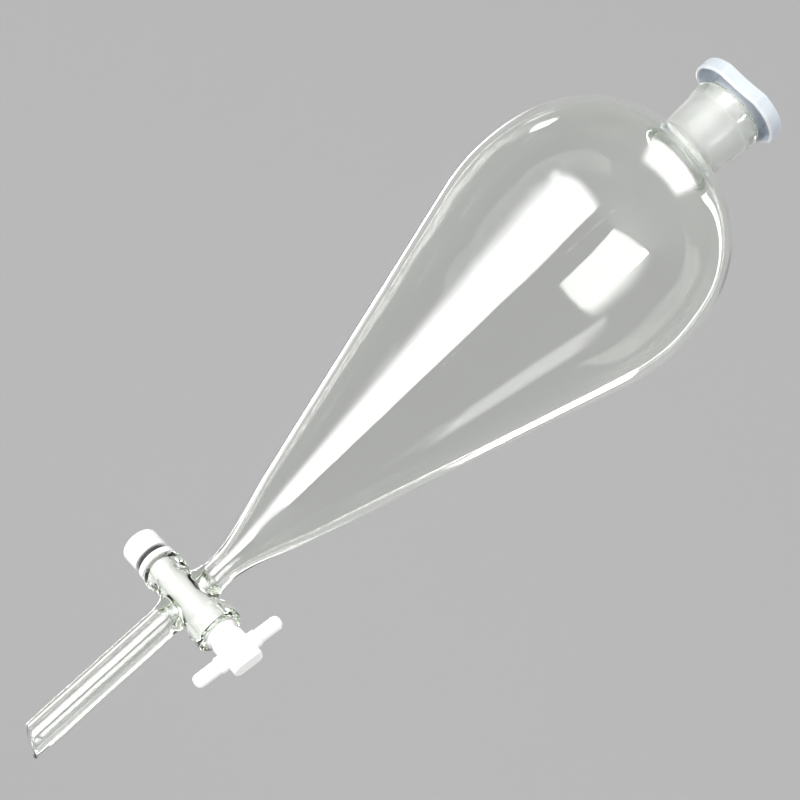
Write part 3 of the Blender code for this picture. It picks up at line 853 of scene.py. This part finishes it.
def threadTree():
    # a ridge with a flat crest along a helix round +X, tapering away at both ends
    tree = bpy.data.node_groups.new("thread ridge", "GeometryNodeTree")
    face = tree.interface
    for name in (
            "Root radius", "Crest radius", "Start", "Length", "Turns", "Phase",
            "Root width", "Crest width"):
        face.new_socket(name, in_out="INPUT", socket_type="NodeSocketFloat")
    face.new_socket("Points", in_out="INPUT", socket_type="NodeSocketInt")
    face.new_socket("Material", in_out="INPUT", socket_type="NodeSocketMaterial")
    face.new_socket("Geometry", in_out="OUTPUT", socket_type="NodeSocketGeometry")
    nodes, links = tree.nodes, tree.links
    given = nodes.new("NodeGroupInput").outputs
    done = nodes.new("NodeGroupOutput")

    def calc(operation, a, b=None):
        return mathNode(tree, operation, a, b)

    # a strip of points: along the helix in X, round the ridge's section in Y
    grid = nodes.new("GeometryNodeMeshGrid")
    grid.inputs["Size X"].default_value = 1
    grid.inputs["Size Y"].default_value = 1
    links.new(given["Points"], grid.inputs["Vertices X"])
    grid.inputs["Vertices Y"].default_value = 5
    position = nodes.new("GeometryNodeInputPosition")
    split = nodes.new("ShaderNodeSeparateXYZ")
    links.new(position.outputs[0], split.inputs[0])
    along = calc("ADD", split.outputs[0], 0.5)
    station = calc("ROUND", calc("MULTIPLY", calc("ADD", split.outputs[1], 0.5), 4.0))
    # stations 0..4 go root, crest, crest, root and back to the start
    isCrest = calc("MULTIPLY", calc("GREATER_THAN", station, 0.5), calc("LESS_THAN", station, 2.5))
    isFar = calc("MULTIPLY", calc("GREATER_THAN", station, 1.5), calc("LESS_THAN", station, 3.5))
    side = calc("SUBTRACT", calc("MULTIPLY", isFar, 2.0), 1.0)
    fromEnd = calc("MINIMUM", along, calc("SUBTRACT", 1.0, along))
    fade = calc("MINIMUM", calc("MULTIPLY", fromEnd, 14.0), 1.0)
    fullHeight = calc("SUBTRACT", given["Crest radius"], given["Root radius"])
    height = calc("MULTIPLY", fullHeight, calc("MULTIPLY", isCrest, fade))
    radius = calc("ADD", given["Root radius"], height)
    rootHalf = calc("MULTIPLY", given["Root width"], 0.5)
    crestHalf = calc("MULTIPLY", given["Crest width"], 0.5)
    half = calc("ADD", rootHalf, calc("MULTIPLY", isCrest, calc("SUBTRACT", crestHalf, rootHalf)))
    half = calc("MULTIPLY", half, calc("ADD", calc("MULTIPLY", fade, 0.9), 0.1))
    travel = calc("ADD", given["Start"], calc("MULTIPLY", along, given["Length"]))
    place = calc("ADD", travel, calc("MULTIPLY", side, half))
    turned = calc("MULTIPLY", calc("MULTIPLY", along, given["Turns"]), math.tau)
    angle = calc("ADD", turned, given["Phase"])
    join = nodes.new("ShaderNodeCombineXYZ")
    links.new(place, join.inputs[0])
    links.new(calc("MULTIPLY", radius, calc("COSINE", angle)), join.inputs[1])
    links.new(calc("MULTIPLY", radius, calc("SINE", angle)), join.inputs[2])
    move = nodes.new("GeometryNodeSetPosition")
    links.new(grid.outputs["Mesh"], move.inputs["Geometry"])
    links.new(join.outputs[0], move.inputs["Position"])
    real = nodes.new("GeometryNodeRealizeInstances")
    paint = nodes.new("GeometryNodeSetMaterial")
    links.new(move.outputs["Geometry"], real.inputs["Geometry"])
    links.new(real.outputs["Geometry"], paint.inputs["Geometry"])
    links.new(given["Material"], paint.inputs["Material"])
    links.new(paint.outputs["Geometry"], done.inputs["Geometry"])
    return tree


def fromTree(name, tree, values, body):
    mesh = bpy.data.meshes.new(name + "Start")
    maker = bpy.data.objects.new(name + "Maker", mesh)
    bpy.context.scene.collection.objects.link(maker)
    modifier = maker.modifiers.new("nodes", "NODES")
    modifier.node_group = tree
    for item in tree.interface.items_tree:
        if item.in_out == "INPUT":
            modifier[item.identifier] = values[item.name]
    graph = bpy.context.evaluated_depsgraph_get()
    made = bpy.data.meshes.new_from_object(maker.evaluated_get(graph))
    bpy.data.objects.remove(maker)
    work = bmesh.new()
    work.from_mesh(made)
    for vertex in work.verts:
        vertex.co.z += stopcockZ
    bmesh.ops.remove_doubles(work, verts=work.verts, dist=0.000002)
    bmesh.ops.holes_fill(work, edges=[e for e in work.edges if len(e.link_faces) == 1], sides=0)
    bmesh.ops.recalc_face_normals(work, faces=work.faces)
    if work.calc_volume(signed=True) < 0:
        bmesh.ops.reverse_faces(work, faces=work.faces)
    openEdges = sum(1 for e in work.edges if len(e.link_faces) != 2)
    work.to_mesh(made)
    work.free()
    made.name = name
    made.shade_smooth()
    made.set_sharp_from_angle(angle=math.radians(thread["sharpAngle"]))
    piece = bpy.data.objects.new(name, made)
    bpy.context.scene.collection.objects.link(piece)
    print(f"{name}: {len(made.polygons)} faces, {openEdges} open edges")
    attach(piece, body)


def threadValues(start, end, root, crest, phase):
    length = end - start
    turns = length / thread["pitch"]
    return {
        "Root radius": root, "Crest radius": crest, "Start": start, "Length": length,
        "Turns": turns, "Phase": phase,
        "Root width": thread["rootWidth"], "Crest width": thread["crestWidth"],
        "Points": int(abs(turns) * thread["perTurn"]), "Material": fluoroplastic,
    }


def buildThreads():
    # right-handed, and the nut's ridge runs half a pitch away from the plug's
    tree = threadTree()
    start, nutStart = thread["plugStart"], thread["nutStart"]
    onPlug = threadValues(start, thread["plugEnd"], thread["plugRoot"], thread["plugCrest"], 0.0)
    fromTree("plugThread", tree, onPlug, "plug")
    phase = math.tau * (nutStart - start) / thread["pitch"] + math.pi
    inNut = threadValues(nutStart, thread["nutEnd"], thread["nutRoot"], thread["nutCrest"], phase)
    fromTree("nutThread", tree, inNut, "nut")


buildThreads()
print("threads made")


rings = {
    "washerRadius": 0.0072, "washerInner": -0.0172, "washerOuter": -0.01945,
    "ringMiddle": 0.0052, "ringCord": 0.0009, "ringX": -0.02065, "flash": 0.00004,
    "nutRadius": 0.00685, "nutInner": -0.02185, "nutOuter": -0.0299, "bore": 0.0043, "steps": 128,
}


def turnedPiece(name, outline, material, body, node):
    # a closed ring about the stopcock's axis from (radius, x) points
    rows = turnedRows(outline, rings["steps"]).reshape(-1, 3)
    points = np.stack([rows[:, 2], rows[:, 0], rows[:, 1] + stopcockZ], -1)
    faces = rowFaces(len(outline), rings["steps"], closed=True)
    piece = makePiece(name, points, faces, material)
    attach(piece, body)
    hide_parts(node)


def closedSoft(points, reach, steps=4):
    # rounds every corner of a closed outline
    wrapped = [points[-1]] + points + [points[0]]
    return softened(wrapped, reach, steps)[1:-1]


def buildRings():
    bore = rings["bore"]
    outside, inner, outer = rings["washerRadius"], rings["washerInner"], rings["washerOuter"]
    washerOutline = closedSoft([
        (outside, inner), (outside, outer), (bore, outer), (bore, inner)], 0.00028)
    washerOutline = spaced(washerOutline, 0.0008)
    turnedPiece("washerRing", washerOutline, fluoroplastic, "plug", "washer")

    cord = []
    for angle in np.linspace(0, math.tau, 32, endpoint=False):
        # the mould's parting line shows inside and out
        flash = rings["flash"] * math.exp(-(math.sin(angle) / 0.12) ** 2)
        radius = rings["ringCord"] + flash * abs(math.cos(angle))
        across, along = radius * math.cos(angle), radius * math.sin(angle)
        cord.append((rings["ringMiddle"] + across, rings["ringX"] + along))
    turnedPiece("sealRing", cord, rubber, "o_ring", "o_ring")

    inner, outer, radius = rings["nutInner"], rings["nutOuter"], rings["nutRadius"]
    nutOutline = closedSoft([
        (radius - 0.0002, inner), (radius, inner - 0.0004), (radius, outer + 0.0011),
        (radius - 0.00045, outer + 0.0003), (radius - 0.0012, outer), (0.0054, outer),
        (bore + 0.0002, outer + 0.0007), (bore + 0.0001, outer + 0.0012),
        (bore + 0.0001, inner - 0.0011), (bore + 0.0007, inner)], 0.00035)
    nutOutline = spaced(nutOutline, 0.0009)
    turnedPiece("roundNut", nutOutline, fluoroplastic, "nut", "retaining_nut")


buildRings()
print("washer, ring and nut made")


stage = {
    "floorZ": -0.8, "floorRadius": 1.1, "domeRadius": 2.8, "domeCenterZ": 0.6, "sweep": 0.35,
    "steps": 96, "glow": 0.2, "tone": (0.46, 0.458, 0.46),
}


def buildStage():
    # a pale floor that sweeps up without a line into a closed round room
    center, radius, floor = stage["domeCenterZ"], stage["domeRadius"], stage["floorZ"]
    sweepSize, steps = stage["sweep"], stage["steps"]
    angles = np.linspace(0.02, math.pi / 2, 24)
    outline = [(radius * math.sin(a), center + radius * math.cos(a)) for a in angles]
    outline += bezierPoints(
        (radius, center), (radius, floor + sweepSize), (radius - sweepSize, floor),
        (stage["floorRadius"], floor), 24)[1:]
    outline += [(0.5, floor), (0.02, floor)]
    points = turnedRows(outline, steps).reshape(-1, 3).tolist()
    points += [[0, 0, center + radius], [0, 0, floor]]
    faces = rowFaces(len(outline), steps)
    faces += [((j + 1) % steps, j, len(points) - 2) for j in range(steps)]
    last = (len(outline) - 1) * steps
    faces += [(last + j, last + (j + 1) % steps, len(points) - 1) for j in range(steps)]
    mesh = bpy.data.meshes.new("studioSweep")
    mesh.from_pydata(points, [], faces)
    mesh.shade_smooth()
    room = bpy.data.objects.new("studioSweep", mesh)
    bpy.context.scene.collection.objects.link(room)
    material, shader = newMaterial("studio paper", stage["tone"], 0.9)
    shader.inputs["Specular IOR Level"].default_value = 0.0
    shader.inputs["Emission Color"].default_value = (1, 1, 1, 1)
    shader.inputs["Emission Strength"].default_value = stage["glow"]
    mesh.materials.append(material)


mirrorBoost = 1.5  # how much brighter the lamps are in reflections than as light


def lampNodes(light, softness):
    # a soft-edged diffuser that shows in reflections and as light, not straight through clear glass
    light.use_nodes = True
    tree = light.node_tree
    nodes, links = tree.nodes, tree.links
    emission = nodes["Emission"]

    def calc(operation, a, b):
        return mathNode(tree, operation, a, b)

    path = nodes.new("ShaderNodeLightPath").outputs
    once = 0.5  # a depth above this means that the ray has bounced that way
    undiffused = calc("LESS_THAN", path["Diffuse Depth"], once)
    straight = calc("MULTIPLY", calc("LESS_THAN", path["Glossy Depth"], once), undiffused)
    hidden = calc("MULTIPLY", calc("GREATER_THAN", path["Transmission Depth"], once), straight)
    mirrored = calc("MULTIPLY", calc("GREATER_THAN", path["Glossy Depth"], once), undiffused)
    shown = calc("ADD", calc("SUBTRACT", 1.0, hidden), calc("MULTIPLY", mirrored, mirrorBoost))
    geometry = nodes.new("ShaderNodeNewGeometry")
    split = nodes.new("ShaderNodeSeparateXYZ")
    links.new(geometry.outputs["Parametric"], split.inputs[0])
    across, upward = split.outputs[0], split.outputs[1]
    edges = (across, calc("SUBTRACT", 1.0, across), upward, calc("SUBTRACT", 1.0, upward))
    for edge, width in zip(edges, softness):
        fade = nodes.new("ShaderNodeMapRange")
        fade.interpolation_type = "SMOOTHSTEP"
        fade.inputs["From Max"].default_value = width
        fade.inputs["To Min"].default_value = 0.02
        links.new(edge, fade.inputs["Value"])
        shown = calc("MULTIPLY", shown, fade.outputs["Result"])
    links.new(shown, emission.inputs["Strength"])


def softbox(name, azimuth, elevation, distance, size, power, softness=(0.2, 0.2, 0.2, 0.2), roll=0):
    a, e = math.radians(azimuth), math.radians(elevation)
    place = Vector((math.sin(a) * math.cos(e), -math.cos(a) * math.cos(e), math.sin(e))) * distance
    light = bpy.data.lights.new(name, "AREA")
    light.shape = "RECTANGLE"
    light.size, light.size_y = size
    light.energy = power
    lampNodes(light, softness)
    lamp = bpy.data.objects.new(name, light)
    lamp.location = place
    lamp.rotation_mode = "QUATERNION"
    facing = (-place).to_track_quat("-Z", "Y")
    lamp.rotation_quaternion = facing @ Quaternion((0, 0, 1), math.radians(roll))
    lamp.visible_camera = False
    bpy.context.scene.collection.objects.link(lamp)


def buildLights():
    softbox("main softbox", -9, -8, 1.1, (1.1, 1.3), 27, (0.06, 0.5, 0.1, 0.06), 180)
    softbox("window strip", 66, 16, 1.5, (0.12, 0.3), 5, (0.03, 0.03, 0.02, 0.02))
    softbox("low fill", 95, -14, 1.5, (0.5, 0.25), 0.5)
    softbox("right rim", 169, 3, 1.5, (0.26, 0.24), 4)
    softbox("left rim", -142, 0, 1.5, (0.14, 1.2), 5)
    softbox("top", 30, 78, 1.4, (0.9, 0.9), 9)


def buildCamera():
    lens = bpy.data.cameras.new("camera")
    lens.lens = 88.37
    lens.sensor_width = 36
    lens.clip_start = 0.01
    camera = bpy.data.objects.new("camera", lens)
    right = Vector((0.64555, 0.21240, 0.73359))
    up = Vector((-0.60444, -0.44504, 0.66075))
    back = Vector((0.46682, -0.86996, -0.15891))
    turn = Matrix((right, up, back)).transposed().to_4x4()
    camera.matrix_world = Matrix.Translation((0.31756, -0.59661, -0.13726)) @ turn
    bpy.context.scene.collection.objects.link(camera)
    bpy.context.scene.camera = camera
    bpy.context.scene.view_settings.view_transform = "Standard"


buildStage()
buildLights()
buildCamera()
print("stage, lights and camera set")
